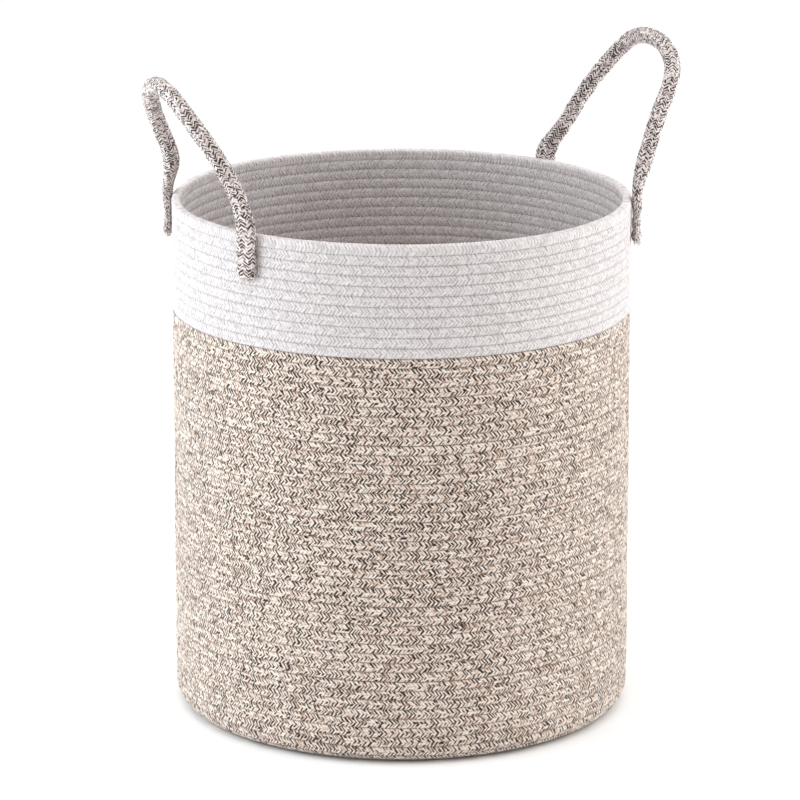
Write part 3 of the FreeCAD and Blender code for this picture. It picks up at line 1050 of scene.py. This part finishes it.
# pressed flat against the wall: out from the hamper's axis, and round it
from_tip = maker.least(distance, given["Length"] - distance)
tip = maker.clamp(maker.least(stroke, given["Strokes"] - stroke) / 2.6)
rounded = maker.root(tip * (2 - tip))
loose = maker.smooth(from_tip, given["Sewn length"] + 0.002, given["Sewn length"] + 0.034)
to_rim = maker.smooth(from_tip, given["Sewn length"] - 0.014, given["Sewn length"] - 0.005)
to_tip = 1 - maker.smooth(from_tip, 0.006, 0.013)
thickness = given["Sewn thickness"] + to_rim * (given["Rim thickness"] - given["Sewn thickness"])
thickness = thickness + to_tip * (given["Tip thickness"] - given["Sewn thickness"])
for distance_of_tack in TACK_DISTANCES:
    near_tack = maker.most(1 - maker.size(from_tip - distance_of_tack) / 0.003, 0.0)
    thickness = thickness - near_tack * 0.0012
thickness = thickness + loose * (given["Diameter"] - given["Rim thickness"])
width = given["Sewn width"] + loose * (given["Diameter"] - given["Sewn width"])
x, y, _ = maker.parts(centre)
outward = maker.vectors("NORMALIZE", maker.vector(x, y, 0.0))
sideways = maker.vectors("CROSS_PRODUCT", maker.vector(0.0, 0.0, 1.0), outward)
out_share = Number(maker, maker.vectors("DOT_PRODUCT", offset, outward, output=1))
side_share = Number(maker, maker.vectors("DOT_PRODUCT", offset, sideways, output=1))
pressed_out = maker.scaled(outward, out_share * (thickness / given["Diameter"] - 1))
pressed_wide = maker.scaled(sideways, side_share * (width / given["Diameter"] - 1))
offset = maker.vectors("ADD", maker.vectors("ADD", offset, pressed_out), pressed_wide)
place = maker.vectors("ADD", centre, maker.scaled(offset, rounded))
shape = mapped_grid(maker, grid, place, maker.vector(stroke, column))
finish_tree(maker, shape, given["Material"], exit_node)
BRAIDED_ROPE = maker.tree

# %% The two handles
for side in ("left", "right"):
    route = handle_route(side)
    line, length = smooth_line(side + "_handle_line", route)
    strokes = round(length / HANDLE_STROKE)
    handle = grow(side + "_handle", BRAIDED_ROPE, {
        "Length": length, "Strokes": strokes, "Material": HANDLE,
    }, route=line)
    bake_map(handle, strokes, HANDLE_COLUMNS, 0, 3)
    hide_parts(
        side + "_handle_loop_cover", side + "_handle_loop_core",
        side + "_handle_front_end_cover", side + "_handle_front_end_core",
        side + "_handle_back_end_cover", side + "_handle_back_end_core",
    )
    side + "_handle"
    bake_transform(handle)

# %% [markdown]
# Two bar tacks hold each sewn end: a thread that goes to and fro across the rope a few dozen times.
# Below them the cut end of the rope frays a little. Both are drawn as thin tubes by one tree each,
# which places every point from its number.

# %% Geometry tree: bar tacks
TACK_POINTS = 27
TACK_WIDTH = 15.5 * MM
TACK_HEIGHT = 1.9 * MM
SEWN_RADIUS = SEWN_ROUTE[1][0]
maker, given, exit_node = new_tree(
    "bar_tacks", "GeometryNodeTree",
    {
        "Rim height": ("number", HEIGHT), "Width": ("number", TACK_WIDTH),
        "Tall": ("number", TACK_HEIGHT), "Rope width": ("number", END_WIDTH),
        "Rope thickness": ("number", 6.2 * MM), "Thread radius": ("number", 0.3 * MM),
        "Material": ("material", None),
    },
    {"Geometry": ("shape", None)},
)
line = maker.node("GeometryNodeMeshLine", {"Count": TACK_POINTS})
curve = maker.node("GeometryNodeMeshToCurve", {"Mesh": line.outputs[0]})
spots = maker.node("GeometryNodeMeshLine", {"Count": 4 * len(TACK_DISTANCES)})
tacks = maker.node(
    "GeometryNodeInstanceOnPoints", {"Points": spots.outputs[0], "Instance": curve.outputs[0]}
)
tacks = maker.node("GeometryNodeRealizeInstances", {"Geometry": tacks.outputs[0]}).outputs[0]
index = Number(maker, maker.node("GeometryNodeInputIndex").outputs[0])
tack = maker.floor((index + 0.5) / TACK_POINTS)
stitch = index - tack * TACK_POINTS
end = maker.floor((tack + 0.5) / 2)
level = tack - end * 2
across = (stitch / (TACK_POINTS - 1) - 0.5) * given["Width"]
bulge = maker.root(maker.most(1 - (2 * across / given["Rope width"]) ** 2.0, 0.0))
radius = SEWN_RADIUS + given["Rope thickness"] / 2 * bulge + given["Thread radius"] * 1.2
side = maker.floor((end + 0.5) / 2)
middle = side * math.pi + (2 * (end - side * 2) - 1) * HANDLE_HALF_ANGLE
angle = middle + across / radius
drop = TACK_DISTANCES[0] + level * (TACK_DISTANCES[1] - TACK_DISTANCES[0]) + SEWN_ROUTE[0][1]
height = given["Rim height"] + drop + (maker.tent(stitch / 2) - 0.5) * given["Tall"]
place = maker.vector(maker.cosine(angle) * radius, maker.sine(angle) * radius, height)
finish_thread(maker, tacks, place, given, stitch, exit_node)
BAR_TACKS = maker.tree
tacks = grow("handle_tacks", BAR_TACKS, {"Material": HEATHER_THREAD})
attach(tacks, "basket")
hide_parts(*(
    f"{side}_handle_{end}_end_stitching" for side in ("left", "right") for end in ("front", "back")
))

# %% Geometry tree: frayed ends
FRAY_POINTS = 6
FRAY_COUNT = 34             # fibres at each sewn end
maker, given, exit_node = new_tree(
    "frayed_ends", "GeometryNodeTree",
    {
        "Rim height": ("number", HEIGHT), "Length": ("number", 4.5 * MM),
        "Spread": ("number", 15.0 * MM), "Thread radius": ("number", 0.16 * MM),
        "Seed": ("number", 5.0), "Material": ("material", None),
    },
    {"Geometry": ("shape", None)},
)
line = maker.node("GeometryNodeMeshLine", {"Count": FRAY_POINTS})
curve = maker.node("GeometryNodeMeshToCurve", {"Mesh": line.outputs[0]})
spots = maker.node("GeometryNodeMeshLine", {"Count": 4 * FRAY_COUNT})
fibres = maker.node(
    "GeometryNodeInstanceOnPoints", {"Points": spots.outputs[0], "Instance": curve.outputs[0]}
)
fibres = maker.node("GeometryNodeRealizeInstances", {"Geometry": fibres.outputs[0]}).outputs[0]
index = Number(maker, maker.node("GeometryNodeInputIndex").outputs[0])
fibre = maker.floor((index + 0.5) / FRAY_POINTS)
step = (index - fibre * FRAY_POINTS) / (FRAY_POINTS - 1)
end = maker.floor((fibre + 0.5) / FRAY_COUNT)
draws = [maker.chance(maker.vector(fibre, given["Seed"] + draw, 0.5)) for draw in range(5)]
place_across, place_out, reach, lean, curl = draws
across = (place_across - 0.5) * given["Spread"]
length = given["Length"] * (0.35 + 0.65 * reach)
edge = maker.root(maker.most(1 - (2 * across / given["Spread"]) ** 2.0, 0.0)) * 0.004
across = across + (lean - 0.5) * length * step * 1.1 + (curl - 0.5) * length * step * step
radius = SEWN_ROUTE[0][0] + (place_out - 0.5) * 0.0055 + curl * 0.0012 * step * step
side = maker.floor((end + 0.5) / 2)
middle = side * math.pi + (2 * (end - side * 2) - 1) * HANDLE_HALF_ANGLE
angle = middle + across / radius
height = given["Rim height"] + SEWN_ROUTE[0][1] + 0.0055 - edge - length * step
place = maker.vector(maker.cosine(angle) * radius, maker.sine(angle) * radius, height)
finish_thread(maker, fibres, place, given, step, exit_node)
FRAYED_ENDS = maker.tree
frays = grow("frayed_handle_ends", FRAYED_ENDS, {"Material": HEATHER_THREAD})
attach(frays, "basket")

# %% Ride
coil_pieces += thread_pieces
for piece, node, slot in coil_pieces:
    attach(piece, "basket")
    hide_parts(node)
